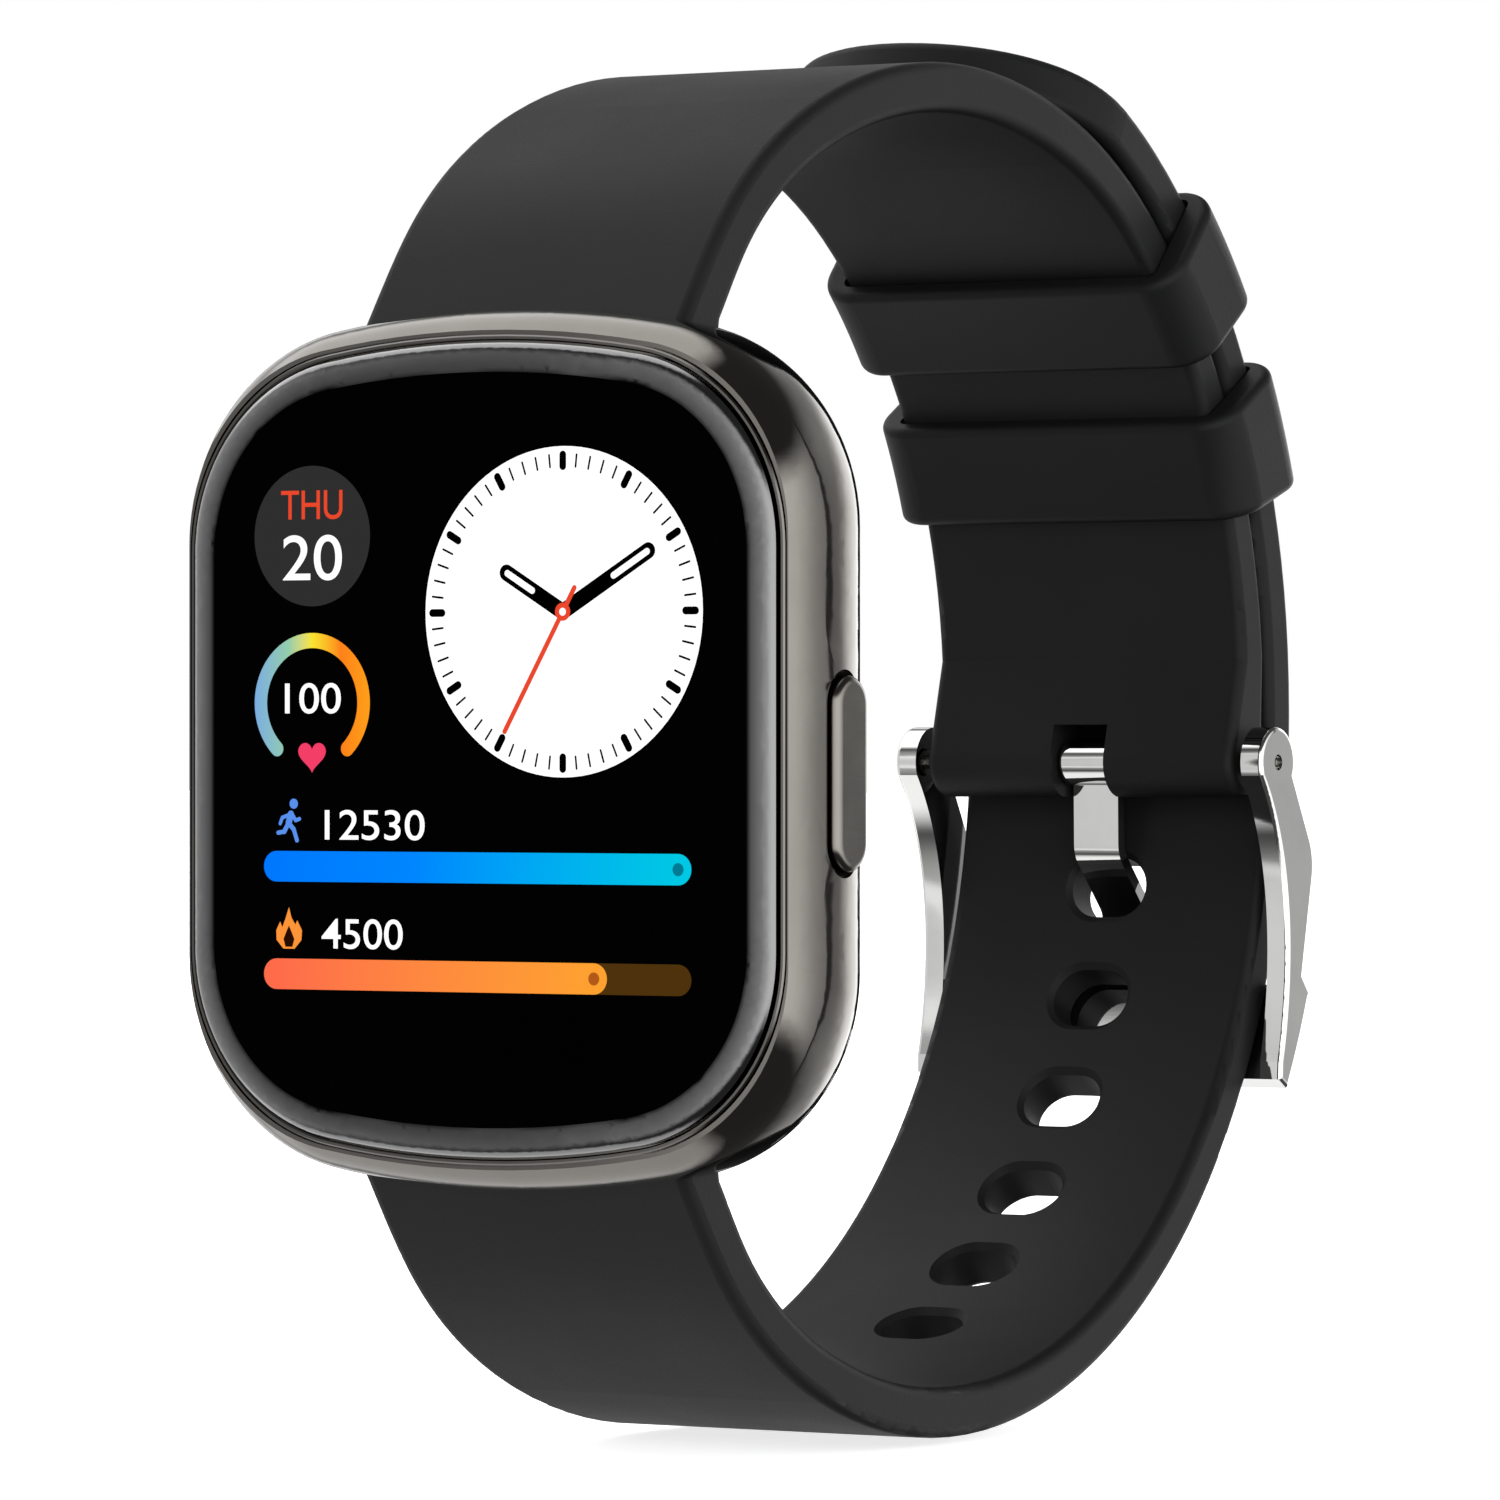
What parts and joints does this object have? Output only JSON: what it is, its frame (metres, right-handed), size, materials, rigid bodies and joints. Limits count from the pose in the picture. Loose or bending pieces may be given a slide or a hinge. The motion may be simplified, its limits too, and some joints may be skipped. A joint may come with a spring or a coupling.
{
  "type": "smartwatch",
  "caption": "Smartwatch with a rounded dark metal case, glass front and side button, closed in its loop by a rubber strap with slots, keepers and a pin buckle.",
  "frame": {"origin": "centre of the flat sensor window on the back of the case, where the watch lies on the wrist", "axes": "+Z towards twelve o'clock, +X towards three o'clock, +Y from the display into the wrist"},
  "size_m": [0.0383, 0.0689, 0.0755],
  "materials": {
    "gunmetal": "polished dark coated steel",
    "gunmetal_button": "polished dark coated steel",
    "polished_steel": "polished",
    "cover_glass": "clear, dark behind",
    "display": "black panel with lit picture",
    "black_seal": "matt",
    "plain_steel": "plain",
    "battery_foil": "foil",
    "circuit_board": "solder mask",
    "shield": "pressed",
    "chip": "moulded",
    "flex": "amber film",
    "tungsten": "sintered",
    "back_plastic": "fine texture",
    "sensor_window": "dark clear",
    "lamp": "clear resin",
    "contact_gold": "plated",
    "magnet": "plated",
    "screw_steel": "dark",
    "strap_rubber": "soft satin",
    "keeper_rubber": "soft satin",
    "buckle_chrome": "polished",
    "bar_steel": "turned"
  },
  "bodies": {
    "watch": {"case_frame": "gunmetal", "trim_ring": "polished_steel", "cover_glass": "cover_glass", "glass_gasket": "black_seal", "display_panel": "display", "chassis_plate": "plain_steel", "battery_cell": "battery_foil", "main_board": "circuit_board", "shield_can": "shield", "board_chips": "chip", "display_flex": "flex", "motor_can": "shield", "side_switch": "chip", "back_cover": "back_plastic", "cover_gasket": "black_seal", "sensor_window": "sensor_window", "sensor_board": "circuit_board", "sensor_leds": "lamp", "light_sensor": "chip", "charging_contacts": "contact_gold", "charging_magnets": "magnet", "cover_screws": "screw_steel", "buckle_strap": "strap_rubber", "hole_strap": "strap_rubber", "top_bar_tube": "bar_steel", "top_bar_spring": "bar_steel", "bottom_bar_tube": "bar_steel", "bottom_bar_spring": "bar_steel", "buckle_bar_tube": "bar_steel", "buckle_bar_spring": "bar_steel"},
    "rotor": {"motor_rotor": "tungsten"},
    "button": {"side_button": "gunmetal_button", "button_seal": "black_seal", "button_clip": "plain_steel"},
    "lower_loop": {"lower_keeper": "keeper_rubber"},
    "upper_loop": {"upper_keeper": "keeper_rubber"},
    "buckle": {"buckle_frame": "buckle_chrome"},
    "tongue": {"buckle_tongue": "buckle_chrome"},
    "top_left_pin": {"top_bar_left_pin": "bar_steel"},
    "top_right_pin": {"top_bar_right_pin": "bar_steel"},
    "bottom_left_pin": {"bottom_bar_left_pin": "bar_steel"},
    "bottom_right_pin": {"bottom_bar_right_pin": "bar_steel"},
    "buckle_left_pin": {"buckle_bar_left_pin": "bar_steel"},
    "buckle_right_pin": {"buckle_bar_right_pin": "bar_steel"}
  },
  "joints": [
    {"name": "motor_spin", "type": "hinge", "parent": "watch", "child": "rotor", "pos_m": [0.0088, -0.005, -0.0088], "axis": [0, 1, 0], "continuous": true},
    {"name": "button_press", "type": "slide", "parent": "watch", "child": "button", "axis": [-1, 0, 0], "range_m": [0, 0.0004], "stiffness_N_per_m": 3000},
    {"name": "lower_loop_slide", "type": "hinge", "parent": "watch", "child": "lower_loop", "pos_m": [0, 0.02029, 0.00261], "axis": [1, 0, 0], "range_deg": [-6, 3]},
    {"name": "upper_loop_slide", "type": "hinge", "parent": "watch", "child": "upper_loop", "pos_m": [0, 0.02029, 0.00261], "axis": [1, 0, 0], "range_deg": [-2.5, 5.5]},
    {"name": "buckle_lift", "type": "hinge", "parent": "watch", "child": "buckle", "pos_m": [0, 0.05284, -0.0007], "axis": [1, 0, 0], "range_deg": [0, 3]},
    {"name": "tongue_lift", "type": "hinge", "parent": "buckle", "child": "tongue", "pos_m": [0, 0.05284, -0.0007], "axis": [1, 0, 0], "range_deg": [0, 1.5]},
    {"name": "top_left_pin_push", "type": "slide", "parent": "watch", "child": "top_left_pin", "axis": [1, 0, 0], "range_m": [0, 0.001], "stiffness_N_per_m": 500, "deforming": ["top_bar_spring"]},
    {"name": "top_right_pin_push", "type": "slide", "parent": "watch", "child": "top_right_pin", "axis": [-1, 0, 0], "range_m": [0, 0.001], "stiffness_N_per_m": 500, "deforming": ["top_bar_spring"]},
    {"name": "bottom_left_pin_push", "type": "slide", "parent": "watch", "child": "bottom_left_pin", "axis": [1, 0, 0], "range_m": [0, 0.001], "stiffness_N_per_m": 500, "deforming": ["bottom_bar_spring"]},
    {"name": "bottom_right_pin_push", "type": "slide", "parent": "watch", "child": "bottom_right_pin", "axis": [-1, 0, 0], "range_m": [0, 0.001], "stiffness_N_per_m": 500, "deforming": ["bottom_bar_spring"]},
    {"name": "buckle_left_pin_push", "type": "slide", "parent": "watch", "child": "buckle_left_pin", "axis": [1, 0, 0], "range_m": [0, 0.001], "stiffness_N_per_m": 500, "deforming": ["buckle_bar_spring"]},
    {"name": "buckle_right_pin_push", "type": "slide", "parent": "watch", "child": "buckle_right_pin", "axis": [-1, 0, 0], "range_m": [0, 0.001], "stiffness_N_per_m": 500, "deforming": ["buckle_bar_spring"]}
  ]
}
